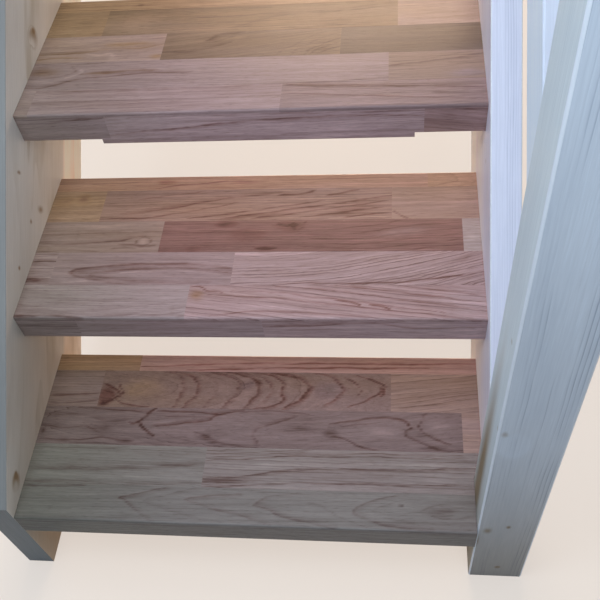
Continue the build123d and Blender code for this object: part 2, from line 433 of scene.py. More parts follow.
def lamella(end, cut, light=1.0, warmth=0.3, redness=0.0, marks=(), **changes):
    """One lamella: the mm from the left stringer where it ends, its cut, its tone and its marks. The light
    in its tone can also paint shade.
    """
    wood = dict(zip(cut_keys, cuts[cut]))
    return {"end": end, "tone": (light, warmth, redness), "marks": marks, **wood, **changes}


def arc(u, width, dark, red, reach=55):
    """A ring that bulges right to u and runs back to the edges of the fourth row."""
    low, high = row_edges[3:5]
    middle = (low + high) / 2 + 3
    return line((u - reach, high, u - reach * 0.35, high - 9, u - 3, middle + 12, u, middle,
                 u - 4, middle - 14, u - reach * 0.4, low), width, dark, red, 9)


# The light values below also paint shade: tread_1's lamellae are darker than tread_3's, as less light
# reaches the lower treads
tread_rows = {
    "tread_1": [
    [lamella(720, "soft", 0.465, -0.9, marks=[
        line((0, 56, 40, 55, 100, 58), 4, 0.35),
        line((235, 58, 190, 46, 158, 39, 175, 32, 215, 2), 2.6, 0.38, 0.1, 9),
        line((285, 60, 230, 44, 205, 37, 225, 26, 290, 8), 2.2, 0.22, 0, 8),
        line((350, 52, 310, 47, 268, 39, 290, 31, 330, 22, 400, 4), 2.6, 0.36, 0.15, 9),
        line((440, 57, 405, 50, 375, 36, 395, 28, 430, 14, 500, 2), 2.6, 0.34, 0.1, 9),
        line((330, 58, 420, 55, 520, 52), 2.2, 0.22),
        line((455, 40, 480, 33, 505, 20, 545, 4), 2.2, 0.2),
        line((600, 58, 560, 48, 522, 32, 540, 20, 575, 8, 640, 1), 3, 0.45, 0.1, 10),
        line((620, 52, 580, 42, 552, 30, 575, 18, 625, 10), 2.2, 0.26, 0, 8), spot(596, 39, 5, 4, 1),
        spot(597, 38, 26, 15, -0.1, push=0.004), spot(652, 32, 34, 15, 0.26),
        line((625, 33, 650, 43, 690, 38), 2.2, 0.25), line((640, 26, 665, 22, 705, 26), 2.2, 0.25),
        spot(668, 33, 20, 5, 0.25),
    ])],
    [lamella(288, "fine", 0.54, -0.9, marks=[
        line((0, 84, 150, 88, 288, 98), 5, 0.3, 0, 12), line((0, 62, 130, 62, 288, 66), 4, 0.32, 0, 8),
        line((0, 120, 60, 123, 160, 127), 3, 0.25), line((120, 74, 220, 76, 288, 80), 5, -0.12),
    ]), lamella(720, "fine", 0.6, -0.6, growth=(0.0042, 0.75, 0.004), marks=[
        line((288, 75, 350, 80, 440, 94, 560, 97, 720, 102), 2.6, 0.62, 0.1, -8),
        line((288, 61, 360, 65, 440, 72, 560, 72, 720, 75), 2.4, 0.55, 0.1),
        spot(300, 69, 130, 8, 0.45, 0, 4), spot(560, 84, 150, 7, 0.12, 0, 2),
        line((288, 104, 350, 110, 470, 117, 720, 120), 2, 0.45, 0.15),
        line((288, 110, 360, 116, 480, 122, 720, 125), 2, 0.4, 0.15),
        line((288, 117, 380, 122, 460, 127), 2, 0.42, 0.15),
        line((288, 123, 370, 127, 420, 129), 2, 0.4), line((470, 106, 600, 110, 720, 113), 2, 0.26),
        line((400, 126, 560, 127, 720, 128), 2.4, -0.16),
        line((330, 92, 420, 102, 520, 105, 720, 108), 5, -0.14),
    ])],
    [lamella(692, "wild", 0.45, 0, 0.05, marks=[
        line((192, 198, 177, 187, 171, 172, 180, 158, 198, 145), 4.2, 0.85, 0.7),
        line((171, 175, 160, 168, 150, 171), 3.5, 0.6, 0.6),
        line((60, 197, 120, 194, 175, 190), 2.5, 0.4, 0.3, 6),
        line((192, 192, 240, 193, 300, 189), 2.4, 0.45, 0.5),
        line((200, 164, 245, 172, 280, 177, 296, 188, 340, 196), 3, 0.6, 0.6, 8),
        line((205, 182, 240, 184, 285, 183), 2.2, 0.35, 0.3),
        line((0, 182, 60, 183, 110, 172, 150, 175), 2.6, 0.35, 0, 8),
        line((0, 163, 40, 158, 80, 162, 105, 150), 2.6, 0.4, 0.2),
        line((0, 139, 70, 137, 110, 143, 165, 136), 2.4, 0.45, 0.2),
        line((60, 131, 140, 132, 230, 131), 2.2, 0.35), spot(112, 163, 44, 17, 0.3),
        spot(5, 153, 7, 8, 0.7), spot(150, 137, 20, 7, 0.75), spot(30, 170, 24, 12, 0.22),
        spot(290, 142, 34, 9, 0.72, 0, -20), spot(285, 150, 14, 7, 0.4),
        line((262, 156, 285, 150, 312, 136, 370, 131), 2.6, 0.5, 0.2),
        line((215, 150, 250, 140, 268, 133), 2.2, 0.3),
        line((420, 184, 385, 171, 365, 162, 362, 148, 372, 131), 2.6, 0.5, 0.4, -8),
        spot(432, 166, 50, 20, 0.3), spot(484, 158, 20, 11, 0.75), spot(455, 178, 26, 8, 0.25),
        line((330, 193, 385, 196, 450, 190), 2.4, 0.35, 0.3),
        line((484, 174, 520, 182, 560, 187, 600, 184, 612, 168), 3, 0.5, 0.6),
        line((484, 154, 505, 149, 522, 138, 560, 130), 2.8, 0.6, 0.4),
        line((500, 170, 525, 174, 560, 176), 2, 0.3, 0.3), spot(562, 163, 48, 17, -0.3),
        spot(655, 176, 30, 17, -0.24), spot(210, 172, 22, 10, -0.15), spot(400, 148, 30, 12, -0.14),
        spot(60, 148, 40, 9, -0.1),
        line((640, 198, 628, 186, 624, 170, 640, 155, 672, 142), 2.8, 0.5, 0.3),
        line((612, 172, 600, 160, 620, 148, 660, 133, 692, 131), 2.8, 0.5, 0.3, 6),
        spot(625, 158, 16, 8, 0.4), spot(650, 135, 30, 5, 0.4),
    ]), lamella(720, "fine", 0.72, 0.4)],
    [lamella(88, "straight", 0.57, 0.25, marks=[
        line((0, 221, 40, 222, 88, 227), 3.4, 0.5, 0.2),
        line((0, 206, 50, 208, 88, 212), 3, 0.5, 0.2, 6), spot(40, 246, 60, 14, -0.12),
    ]), lamella(580, "arcs", 0.53, 0.32, 0.15, marks=[
        spot(97, 222, 24, 30, 0.2, 0.8), spot(96, 206, 11, 8, 0.8, 0.8),
        line((90, 244, 112, 236, 120, 224, 110, 212, 92, 203), 3.2, 0.6, 0.9),
        line((92, 230, 104, 226, 108, 216, 98, 208), 2.6, 0.5, 0.9),
        line((120, 246, 126, 230, 122, 216, 132, 206, 180, 200), 2.4, 0.4, 0.6),
        spot(160, 238, 60, 26, -0.16, warm=0.3), arc(232, 2.4, 0.3, 0.4, reach=40),
        arc(256, 2.6, 0.42, 0.5), arc(290, 2.2, 0.16, 0.2), arc(326, 2.8, 0.42, 0.4, reach=62),
        arc(362, 3.4, 0.7, 0.7, reach=66), arc(380, 2, 0.2, 0.4, reach=60),
        line((342, 271, 385, 263, 402, 247, 396, 233, 405, 220, 386, 205, 340, 199), 2.8, 0.55, 0.7, 8),
        line((378, 271, 420, 263, 443, 248, 440, 232, 426, 215, 402, 200), 3.4, 0.68, 0.9, 10),
        line((448, 271, 480, 263, 497, 249, 500, 234, 488, 220, 470, 208), 2.8, 0.55, 0.8, 8),
        line((525, 268, 553, 257, 569, 246, 560, 232, 545, 222, 510, 205), 2.8, 0.5, 0.7),
        line((500, 262, 520, 255, 532, 240, 526, 226), 2.2, 0.35, 0.5),
        spot(478, 238, 36, 24, 0.16, warm=-0.5), spot(342, 246, 18, 14, 0.22, warm=-0.3),
        spot(405, 236, 26, 22, -0.12), spot(300, 232, 22, 24, -0.1),
        line((560, 246, 568, 240, 566, 228), 3.4, 0.4, 0.9),
    ]), lamella(720, "rising", 0.66, 0.4, marks=[line((590, 204, 640, 214, 720, 236), 2.2, 0.25)])],
    [lamella(148, "straight", 0.75, 0.7, 0.1), lamella(720, "straight", 1.05, 0.3, 0.4, marks=[
        line((150, 280, 300, 287, 520, 290, 720, 292), 2.6, 0.35, 0.5),
        line((230, 273, 420, 280, 640, 283), 2.6, 0.4, 0.6),
    ])],
    ],
    "tread_2": [
    [lamella(270, "fine", 0.89, -0.3, marks=[
        spot(0, 30, 130, 70, 0.2), line((0, 4, 60, 3, 110, 1), 5, 0.45),
        line((120, 1, 200, 8, 270, 20), 3.5, 0.32, 0, 9), line((190, 1, 270, 11), 3, 0.3),
        line((60, 8, 160, 18, 270, 32), 3, 0.16), line((40, 20, 150, 28, 270, 42), 4, -0.1),
        spot(266, 3, 16, 6, 0.35),
    ]), lamella(720, "falling", 1.02, 0, 0.2, marks=[
        line((272, 58, 290, 60, 300, 52, 318, 52, 326, 46), 2.6, 0.45, 0.4),
        spot(284, 44, 16, 16, 0.2, warm=0.4),
        line((300, 44, 390, 39, 450, 34, 530, 22, 640, 8, 715, 0), 2.4, 0.42, 0.3),
        line((336, 52, 400, 50, 460, 42, 545, 29, 660, 12), 2.2, 0.36, 0.3),
        line((400, 62, 480, 54, 560, 42, 650, 28, 720, 17), 2.2, 0.36, 0.3),
        line((490, 64, 590, 50, 720, 32), 2.2, 0.32, 0.3),
        line((590, 63, 650, 54, 720, 44), 2.2, 0.32, 0.2),
        line((498, 34, 520, 30, 535, 24), 3, 0.6, 0.4),
        line((548, 26, 570, 22, 582, 17), 2.8, 0.45, 0.4),
        line((310, 4, 380, 14, 470, 10, 560, 3), 2.4, 0.25, 0.2), spot(400, 22, 70, 10, -0.26),
        spot(660, 40, 60, 12, -0.12, 0, -8), spot(470, 6, 80, 5, -0.14),
        spot(715, 30, 90, 60, -0.1, -0.2),
    ])],
    [lamella(40, "straight", 0.88, 0, marks=[
        line((0, 111, 22, 113, 40, 113), 3.6, 0.5), line((0, 104, 40, 103), 2.4, 0.3),
        spot(12, 74, 36, 10, 0.75, 0.2), line((0, 90, 40, 88), 2.4, 0.25),
    ]), lamella(333, "fine", 0.79, 0, 0.1, marks=[
        line((333, 98, 285, 104, 220, 107, 150, 105, 98, 99, 70, 90, 92, 80, 130, 71, 172, 66),
             4.5, 0.5, 0.2, 16),
        line((333, 88, 270, 97, 190, 98, 128, 92, 104, 85, 130, 78, 190, 70, 300, 67), 2.6, 0.26, 0.2, 8),
        line((312, 85, 260, 92, 190, 93, 150, 88), 3.2, -0.24),
        line((60, 70, 100, 72, 86, 78), 4, -0.22), spot(66, 76, 20, 8, -0.14),
        line((40, 122, 140, 124, 333, 118), 3, -0.1), line((120, 113, 220, 116, 333, 110), 2.4, 0.18),
        spot(96, 90, 22, 7, 0.3),
    ]), lamella(720, "rippled", 0.96, 0, 0.08, marks=[
        line((400, 66, 480, 68, 560, 67, 620, 73, 720, 90), 3, 0.6, 0.2),
        line((340, 68, 450, 72, 560, 74, 640, 84, 720, 100), 2.4, 0.22),
        line((560, 67, 640, 68, 720, 74), 3, -0.18), spot(640, 100, 70, 24, -0.06, 0, 30),
        spot(690, 116, 40, 10, 0.16, 0, 30),
    ])],
    [lamella(206, "soft", 0.7, 0.3, marks=[
        line((0, 152, 60, 149, 130, 155, 158, 162, 172, 166, 188, 162), 3.2, 0.42, 0.2, 9),
        line((132, 147, 160, 149, 178, 144, 200, 146), 3, 0.42, 0.2),
        line((125, 138, 150, 142, 170, 140), 2.6, 0.35), spot(178, 155, 11, 8, -0.55),
        line((166, 158, 178, 164, 190, 158, 190, 150, 178, 146, 167, 151, 166, 158), 2.4, 0.5),
        line((0, 172, 70, 172, 140, 178, 206, 176), 3, 0.2), spot(90, 188, 90, 8, -0.16),
        spot(60, 140, 70, 8, -0.08), line((0, 134, 60, 136, 110, 134), 2.8, 0.3),
    ]), lamella(692, "straight", 0.69, 0.2, 0.85, marks=[
        spot(424, 184, 9, 9, 0.9, 0.6), spot(420, 185, 34, 15, 0.3, 0.5, push=0.006),
        line((396, 190, 412, 186, 424, 192, 436, 186), 2.4, 0.5, 0.6),
        line((430, 178, 440, 184, 442, 196), 2.4, 0.45, 0.6), spot(312, 191, 24, 10, 0.45, 0.4),
        spot(380, 139, 18, 6, 0.6, 0.3), spot(350, 168, 40, 22, 0.16, 0.3), spot(282, 150, 20, 16, 0.18),
        spot(262, 138, 16, 8, 0.2, 0.4), line((360, 143, 380, 137, 398, 140), 2.4, 0.4),
        line((430, 170, 500, 166, 560, 176, 620, 187, 692, 190), 2.4, 0.4),
        line((450, 160, 520, 156, 590, 166, 692, 180), 2.4, 0.4),
        line((440, 150, 520, 146, 610, 156, 692, 168), 2.4, 0.36),
        line((430, 142, 540, 137, 640, 148, 692, 158), 2.4, 0.36),
        line((470, 133, 580, 132, 692, 145), 2.4, 0.34), line((480, 178, 540, 184, 600, 195), 2.2, 0.34),
        line((520, 134, 600, 133, 660, 134), 3, -0.4), line((206, 176, 280, 172, 340, 176), 2.2, 0.24),
        spot(240, 182, 30, 8, -0.12), spot(600, 172, 60, 14, -0.14, -0.3, 8),
    ]), lamella(720, "plain", 0.98, -0.5, marks=[spot(706, 160, 16, 14, -0.2)])],
    [lamella(92, "plain", 0.82, 0.75, 0.1, marks=[
        spot(22, 246, 22, 14, 0.1, 0.2, warm=0.6), spot(54, 250, 16, 18, 0.16, 0.2, warm=0.6),
        spot(36, 216, 60, 10, 0.16), spot(84, 244, 8, 22, 0.14),
        line((0, 204, 50, 203, 92, 206), 3, 0.25),
    ]), lamella(581, "straight", 0.85, 0.4, 0.34, marks=[
        spot(470, 236, 170, 60, 0.08), line((132, 214, 200, 226, 300, 249, 380, 258), 3, 0.36, 0.3, 9),
        line((92, 205, 180, 208, 250, 222, 330, 240), 2.6, 0.24, 0.3),
        line((240, 205, 330, 217, 400, 229, 474, 244), 3, 0.42, 0.3),
        line((300, 204, 380, 216, 440, 227, 520, 241, 580, 252), 3.2, 0.5, 0.4, -9),
        line((350, 203, 450, 219, 581, 242), 2.8, 0.45, 0.4),
        line((430, 205, 500, 215, 581, 228), 2.6, 0.42, 0.4), line((500, 204, 581, 215), 2.6, 0.36, 0.4),
        line((392, 256, 425, 258, 452, 266), 4, 0.48, 0.4), spot(446, 263, 12, 6, 0.2),
        line((470, 252, 500, 260, 528, 267), 3.4, 0.36, 0.3), spot(390, 262, 16, 4, 0.25),
        line((250, 262, 330, 266, 400, 262), 2.4, 0.2), spot(520, 222, 62, 14, 0.22, 0.2, 10),
        line((480, 201, 530, 205, 581, 203), 3, -0.24),
        line((150, 250, 200, 258, 270, 268), 2.4, 0.16, 0.3),
    ]), lamella(720, "plain", 0.84, 0.5, 0.2, marks=[
        line((581, 222, 596, 208, 610, 200), 2.8, 0.35, 0.3),
        line((600, 262, 660, 246, 720, 238), 3, 0.16), line((600, 205, 660, 212, 720, 208), 2.6, 0.16),
        spot(690, 254, 40, 12, -0.1),
    ])],
    [lamella(640, "straight", 1.18, 0.6, 0.42, marks=[
        spot(195, 290, 26, 9, 0.22, 0.4, warm=0.4), spot(330, 288, 40, 8, 0.1, 0.3),
        line((180, 276, 230, 284, 300, 290), 2.6, 0.25, 0.4),
    ]), lamella(720, "flames_right", 1.05, 0.7, 0.3, marks=[
        line((655, 276, 690, 282, 716, 280, 720, 290), 2.6, 0.3),
    ])],
    ],
    "tread_3": [
    [lamella(22, "plain", 0.8, 0.2), lamella(415, "soft", 0.86, 0, 0.05, marks=[
        line((22, 56, 160, 54, 300, 55, 415, 58), 6, 0.26, 0, -16),
        line((22, 14, 120, 20, 200, 18), 4, 0.14), spot(340, 24, 90, 12, -0.16),
        line((230, 38, 320, 40, 415, 37), 3, 0.1), line((60, 36, 150, 33, 240, 36), 3, -0.1),
    ]), lamella(720, "straight", 0.71, 0, 0.14, marks=[
        line((416, 57, 480, 53, 560, 48, 640, 43, 720, 38), 3, 0.6, 0.2),
        line((440, 58, 540, 53, 640, 49, 720, 46), 2.4, 0.34, 0.2),
        line((415, 36, 500, 29, 600, 23, 720, 12), 2.6, 0.26, 0.3), line((640, 30, 720, 25), 3.5, 0.25),
        line((480, 46, 600, 38, 720, 30), 3.5, -0.14), spot(520, 12, 90, 10, -0.08),
    ])],
    [lamella(576, "fine", 0.75, 0, 0, marks=[
        line((0, 66, 40, 70, 85, 85, 140, 91, 210, 97, 262, 94), 3.4, 0.52, 0.1, 9),
        line((88, 98, 150, 102, 215, 104), 6.5, 0.36, 0.1, warm=0.3),
        spot(120, 100, 34, 8, 0.18, warm=0.3), line((62, 88, 78, 95, 86, 104, 78, 112), 4, -0.34),
        spot(20, 104, 44, 20, 0.28, warm=0.3), line((0, 88, 50, 92, 72, 104, 64, 120), 3.4, 0.26),
        line((0, 120, 60, 123, 120, 127), 3, 0.22), spot(22, 82, 36, 7, -0.12),
        line((405, 60, 500, 62, 576, 69), 2.6, 0.45), line((200, 62, 300, 63, 400, 64), 3, -0.12),
        spot(470, 110, 110, 16, -0.07), line((230, 84, 330, 82, 430, 86), 2.6, 0.1),
        line((240, 112, 400, 110, 576, 112), 2.4, 0.1),
    ]), lamella(720, "soft", 0.63, 0.4, marks=[
        line((577, 96, 640, 104, 720, 118), 4, 0.6, 0.1, -9),
        line((577, 104, 640, 112, 720, 127), 2.6, 0.3), spot(690, 72, 50, 12, -0.14, warm=-0.4),
        line((577, 84, 640, 88, 720, 98), 2.6, 0.14),
    ])],
    [lamella(210, "soft", 0.74, 0.35, marks=[
        line((0, 152, 80, 155, 120, 164, 170, 162, 210, 170), 3.2, 0.36, 0, 9, warm=0.3),
        spot(150, 174, 60, 9, 0.24, warm=0.4), spot(200, 138, 20, 8, 0.3, warm=0.6),
        line((84, 152, 104, 146, 122, 150, 132, 140), 4, -0.36), spot(132, 140, 16, 9, -0.3),
        line((0, 138, 40, 144, 84, 140), 3.4, 0.3, warm=0.3), spot(40, 180, 50, 12, -0.14),
        line((100, 186, 150, 184, 210, 188), 3, 0.25), line((60, 131, 120, 133, 200, 131), 4, -0.2),
        spot(60, 166, 30, 5, 0.16),
    ]), lamella(500, "rising", 0.42, 0.6, 0.05, marks=[
        line((210, 147, 265, 150, 292, 160, 322, 170), 3, 0.52, 0.1, 8),
        line((276, 175, 290, 186, 308, 192, 340, 196), 4.4, 0.55), spot(288, 180, 20, 8, 0.45, 0, 20),
        line((290, 170, 310, 180, 330, 186), 3, 0.35), spot(350, 180, 26, 12, 0.18, 0, 30),
        line((440, 130, 452, 143, 470, 156, 500, 170), 2.6, 0.55),
        line((450, 130, 462, 142, 480, 152, 500, 160), 2.6, 0.5),
        line((462, 130, 474, 139, 500, 150), 2.6, 0.45),
        line((420, 131, 436, 148, 460, 166, 490, 182), 2.4, 0.26, 0.1),
        line((400, 132, 420, 154, 450, 176, 480, 192), 2.4, 0.22, 0.1),
        spot(470, 150, 34, 24, 0.14, 0.15, 40), spot(250, 182, 30, 10, -0.1),
        spot(330, 145, 70, 10, -0.06, 0.12),
    ]), lamella(720, "fine", 0.28, 0.4, 0.05, marks=[
        line((500, 168, 590, 162, 720, 166), 2.4, 0.24), line((500, 150, 600, 146, 720, 152), 2.4, 0.22),
        line((500, 190, 570, 184, 640, 188, 720, 192), 2.4, 0.36),
        line((520, 136, 620, 140, 700, 132), 2.8, 0.32), spot(560, 188, 60, 6, 0.18),
        line((560, 178, 640, 176, 720, 180), 2.4, 0.2),
    ])],
    [lamella(97, "plain", 0.65, 0.95, marks=[
        spot(66, 236, 34, 16, 0.2), spot(90, 208, 16, 8, 0.2), line((0, 206, 60, 204, 97, 206), 3, 0.2),
    ]), lamella(590, "straight", 0.51, 0.75, marks=[
        spot(140, 234, 90, 44, -0.34), line((235, 240, 350, 244, 450, 249, 590, 262), 2.8, 0.3, 0.1),
        line((320, 208, 350, 222, 392, 236, 450, 243, 590, 254), 3.2, 0.36, 0.1, 9),
        line((200, 214, 300, 216, 380, 206), 3, 0.18), spot(350, 216, 50, 9, 0.16, 0, 25),
        line((400, 204, 490, 206, 590, 212), 3, 0.4), line((440, 214, 520, 224, 590, 228), 2.6, 0.22),
        line((110, 262, 240, 266, 380, 262), 2.6, 0.18), spot(150, 232, 50, 18, -0.08),
        spot(500, 236, 60, 10, -0.1, 0, 8), spot(490, 234, 180, 70, 0.18),
    ]), lamella(720, "plain", 0.79, 0.45, marks=[
        line((600, 204, 650, 200, 710, 206), 3, 0.3), line((590, 222, 640, 214, 720, 222), 2.6, 0.2),
    ])],
    [lamella(720, "straight", 0.92, 0.85, marks=[
        spot(150, 284, 10, 8, 0.35), line((60, 288, 140, 284, 220, 276), 3, 0.2),
        line((190, 272, 340, 274, 480, 272), 3, 0.2),
    ])],
    ],
}
# The faces' light values paint shade in the same way: tread_1's face is the darkest
tread_faces = {
    "tread_1": [lamella(720, "plain", 0.46, -0.8, marks=[
        line((0, 10, 160, 9, 340, 12), 3, 0.3), spot(0, 30, 170, 60, 0.2),
    ])],
    "tread_2": [lamella(97, "straight", 0.95, 0, marks=[line((0, 23, 97, 22), 3, 0.4)]),
     lamella(388, "plain", 1.1, -0.1), lamella(720, "plain", 1.28, -0.1, 0.08, marks=[
        spot(715, 25, 90, 50, -0.16),
        line((388, 22, 460, 17, 540, 12, 580, 16, 622, 23, 716, 20), 3, 0.45, 0.2, -8),
        line((388, 34, 500, 28, 620, 34, 720, 31), 2.6, 0.16),
    ])],
    "tread_3": [lamella(143, "plain", 1, 0, marks=[line((0, 17, 70, 14, 143, 9), 3, 0.5)]),
     lamella(629, "plain", 1.2, -0.1, 0, marks=[
        line((144, 43, 250, 32, 360, 21, 450, 16, 540, 15, 629, 18), 3.2, 0.52, 0.2, 7),
        line((250, 40, 400, 30, 629, 32), 2.6, 0.14),
    ]), lamella(720, "falling", 1.05, 0.2, 0.25, marks=[line((629, 12, 680, 20, 720, 30), 3, 0.35)])],
}


def chance_marks(dice, start, end, low, high):
    """A knot, now and then, and a few soft lines along a lamella, left to the dice."""
    marks = []
    for _ in range(dice.randrange(1, 4)):
        v = dice.uniform(low + 6, high - 6)
        slope = dice.uniform(-14, 14)
        bend = dice.uniform(-8, 8)
        marks.append(line((start, v, (start + end) / 2, v + bend, end, v + slope),
                          width=dice.uniform(2.4, 4.0), skirt=dice.choice((-9, 0, 9)),
                          dark=dice.uniform(0.2, 0.55), red=dice.uniform(0.0, 0.3)))
    if dice.random() < 0.3:
        u, v = dice.uniform(start + 20, end - 20), dice.uniform(low + 15, high - 12)
        marks += [spot(u, v, 6, 5, 0.8, 0.3), spot(u, v, 34, 16, 0.2, push=0.006)]
    return marks


def chance_row(dice, low, high):
    """A row of lamellae with joints, cuts and marks left to the dice."""
    ends = []
    end = dice.uniform(60, 420)
    while end < clear_width - 30:
        ends.append(end)
        end += dice.uniform(260, 560)
    row = []
    start = 0
    for stop in ends + [clear_width]:
        cut = dice.choice(sorted(cuts))
        tone = (dice.uniform(0.86, 1.02), dice.uniform(-0.1, 0.9), dice.uniform(-0.2, 0.45))
        row.append(lamella(stop, cut, *tone, chance_marks(dice, start, stop, low, high)))
        start = stop
    return row


def chance_rows(dice, edges):
    return [chance_row(dice, *pair) for pair in zip(edges, edges[1:])]


def rounded(corners, segments=5):
    """A section's outline from (y, z, radius) corners, each corner rounded or bevelled."""
    outline = []
    count = len(corners)
    for index, (y, z, radius) in enumerate(corners):
        here = Vector((y, z))
        before = (Vector(corners[index - 1][:2]) - here).normalized()
        after = (Vector(corners[(index + 1) % count][:2]) - here).normalized()
        if radius <= seam:
            outline += [here + before * radius, here + after * radius]
            continue
        middle = here + (before + after) * radius
        for step in range(segments + 1):
            angle = step / segments * math.pi / 2
            outline.append(middle - after * radius * math.cos(angle) - before * radius * math.sin(angle))
    return outline


def split(outline, edge, step):
    """The outline with more points along the edge that lies on y or z = edge, a step apart."""
    result = []
    axis, value = edge
    for here, after in zip(outline, outline[1:] + outline[:1]):
        here, after = Vector(here), Vector(after)
        result.append(here)
        if abs(here[axis] - value) < seam and abs(after[axis] - value) < seam:
            count = max(1, round((after - here).length / step))
            result += [here.lerp(after, i / count) for i in range(1, count)]
    return result


class Boards:
    """Boards that run along x, gathered into one mesh with the attributes of their wood."""

    def __init__(self, steps):
        self.steps = steps
        self.points = []
        self.faces = []
        self.values = {key: [] for key in ("pith", "lean", "growth", "look", "tone", "chance", "stain")}

    def add(self, x0, x1, outline, values, marks, edge, across):
        """One board. The marks are laid out by the mm that across gives for a point (y, z)."""
        long_step, cross_step = (step * MM for step in self.steps)
        runs = 1
        if marks:
            runs = max(1, round((x1 - x0) / long_step))
            outline = split(outline, edge, cross_step)
        start = len(self.points)
        count = len(outline)
        sections = np.linspace(x0, x1, runs + 1)
        for x in sections:
            self.points += [(x, y, z) for y, z in outline]
        last = start + runs * count
        self.faces.append([start + i for i in range(count)])
        self.faces.append([last + i for i in reversed(range(count))])
        for base in range(start, last, count):
            for i in range(count):
                j = (i + 1) % count
                self.faces.append([base + j, base + i, base + count + i, base + count + j])
        us = np.repeat((sections - left_face) / MM, count)
        vs = np.tile([across(y, z) / MM for y, z in outline], runs + 1)
        dark, warm, red, pushes = marked(marks, us, vs, values["chance"][0])
        self.values["stain"] += list(zip(dark, warm, red))
        self.values["look"] += [(*values["look"], push) for push in pushes]
        for key in ("pith", "lean", "growth", "tone", "chance"):
            self.values[key] += [values[key]] * len(us)

    def piece(self, name, material, node):
        mesh = bpy.data.meshes.new(name)
        mesh.from_pydata(self.points, [], self.faces)
        for key, values in self.values.items():
            attribute = mesh.attributes.new(key, "FLOAT_VECTOR", "POINT")
            attribute.data.foreach_set("vector", [part for value in values for part in value])
        mesh.materials.append(material)
        mesh.shade_smooth()
        mesh.set_sharp_from_angle(angle=sharp_angle)
        made = bpy.data.objects.new(name, mesh)
        bpy.context.scene.collection.objects.link(made)
        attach(made, "root")
        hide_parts(node)


# The shaded line that runs along the top of a tread's face
under_nosing = line((-20, 8, clear_width / 2, 8, clear_width + 20, 8), 3.2, 0.3)


def wood_values(board, middle, dice):
    """A lamella's attributes, with its pith placed from the lamella's middle."""
    values = {key: board[key] for key in ("lean", "growth", "look", "tone")}
    values["pith"] = tuple(Vector(board["pith"]) + middle)
    values["chance"] = [dice.uniform(3, 60) for _ in range(3)]
    return values


def newel_notches(low, high):
    """Where the newels cut a tread's right end: from y, to y, and the x where the cut starts."""
    notches = []
    for newel in ("bottom_newel", "top_newel"):
        newel_low, newel_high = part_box(newel)
        front, back = newel_low.y - newel_gap, newel_high.y + newel_gap
        if 0 < front - low.y < thin_strip:
            front = low.y
        if front < high.y and back > low.y:
            notches.append((front, back, newel_low.x - newel_gap))
    return notches


def end_at(y, x1, notches):
    """Where a board that runs to x1 ends at y, as a newel may cut it short."""
    for front, back, x in notches:
        if front < y < back:
            return min(x1, x)
    return x1


def tread_piece(node, rows, face_row, edges, material, steps):
    """A laminated tread in place of its CAD node: rows of lamellae, notched round the newels.
    Returns what the faces' wood is made of, as (from x, to x, values)."""
    dice = random.Random("wood of " + node)
    low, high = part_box(node)
    boards = Boards(steps)
    notches = newel_notches(low, high) if node in treads else []
    stop = low.y + stopped_front if node == treads[0] else low.y
    cuts_across = sorted({y for notch in notches for y in notch[:2]} | {stop})
    for number, row in enumerate(rows):
        y0 = low.y + edges[number] * MM
        last = number == len(rows) - 1
        y1 = high.y if last else low.y + edges[number + 1] * MM
        strips = [y0] + [y for y in cuts_across if y0 < y < y1] + [y1]
        x0 = low.x
        for board in row:
            x1 = high.x if board is row[-1] else left_face + board["end"] * MM
            middle = Vector(((x0 + x1) / 2, (y0 + y1) / 2, high.z))
            values = wood_values(board, middle, dice)
            for front, back in zip(strips, strips[1:]):
                start = x0 if front >= stop else max(x0, left_face + stringer_gap)
                end = end_at((front + back) / 2, x1, notches)
                front_seam = seam if front == y0 else 0.0
                back_seam = seam if back == y1 else 0.0
                if last and back == y1:
                    back_seam = back_radius
                tail = [(back, low.z, back_seam), (back, high.z, back_seam)]
                if number == 0 and front == y0:
                    head = [(front, high.z, nosing_radius), (front, high.z - face_lip, seam),
                            (front + face_thickness, high.z - face_lip, 0.0),
                            (front + face_thickness, low.z, seam)]
                else:
                    head = [(front, high.z, front_seam), (front, low.z, front_seam)]
                boards.add(start, end, rounded(head + tail), values, board["marks"],
                           (1, high.z), lambda y, z: y - low.y)
            x0 = x1
    face_wood = []
    top = high.z - face_lip
    x0 = low.x
    for board in face_row:
        x1 = high.x if board is face_row[-1] else left_face + board["end"] * MM
        end = end_at(low.y + face_thickness, x1, notches)
        middle = Vector(((x0 + x1) / 2, low.y, (low.z + high.z) / 2))
        outline = rounded([(low.y, top, seam), (low.y, low.z, nosing_radius),
                           (low.y + face_thickness, low.z, seam), (low.y + face_thickness, top, 0.0)])
        values = wood_values(board, middle, dice)
        turned = board["pith"]
        values["pith"] = tuple(middle + Vector((turned[0], turned[2], turned[1])))
        values["lean"] = (board["lean"][1], board["lean"][0], 0.0)
        start = x0 if stop == low.y else max(x0, left_face + stringer_gap)
        marks = [*board["marks"], under_nosing]
        boards.add(start, end, outline, values, marks, (0, low.y), lambda y, z: high.z - z)
        face_wood.append((x0, x1, values))
        x0 = x1
    boards.piece(node + "_boards", material, node)
    return face_wood


def strip_piece(node, face_wood, material):
    """The strip below a nosing, cut from the wood of the face lamella that it hangs under."""
    low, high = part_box(node)
    middle = (low.x + high.x) / 2
    values = [values for x0, x1, values in face_wood if x0 <= middle <= x1][0]
    lip = nosing_radius
    outline = rounded([(low.y, high.z + lip, 0.0), (low.y, low.z, nosing_radius),
                       (high.y, low.z, seam), (high.y, high.z, seam),
                       (low.y + lip, high.z, 0.0), (low.y + lip, high.z + lip, 0.0)])
    marks = [line((120, 4, 300, 6, 480, 4, 620, 5), 2.6, 0.14)]
    boards = Boards(fine_step)
    boards.add(low.x, high.x, outline, values, marks, (0, low.y), lambda y, z: high.z - z)
    boards.piece(node + "_board", material, node)


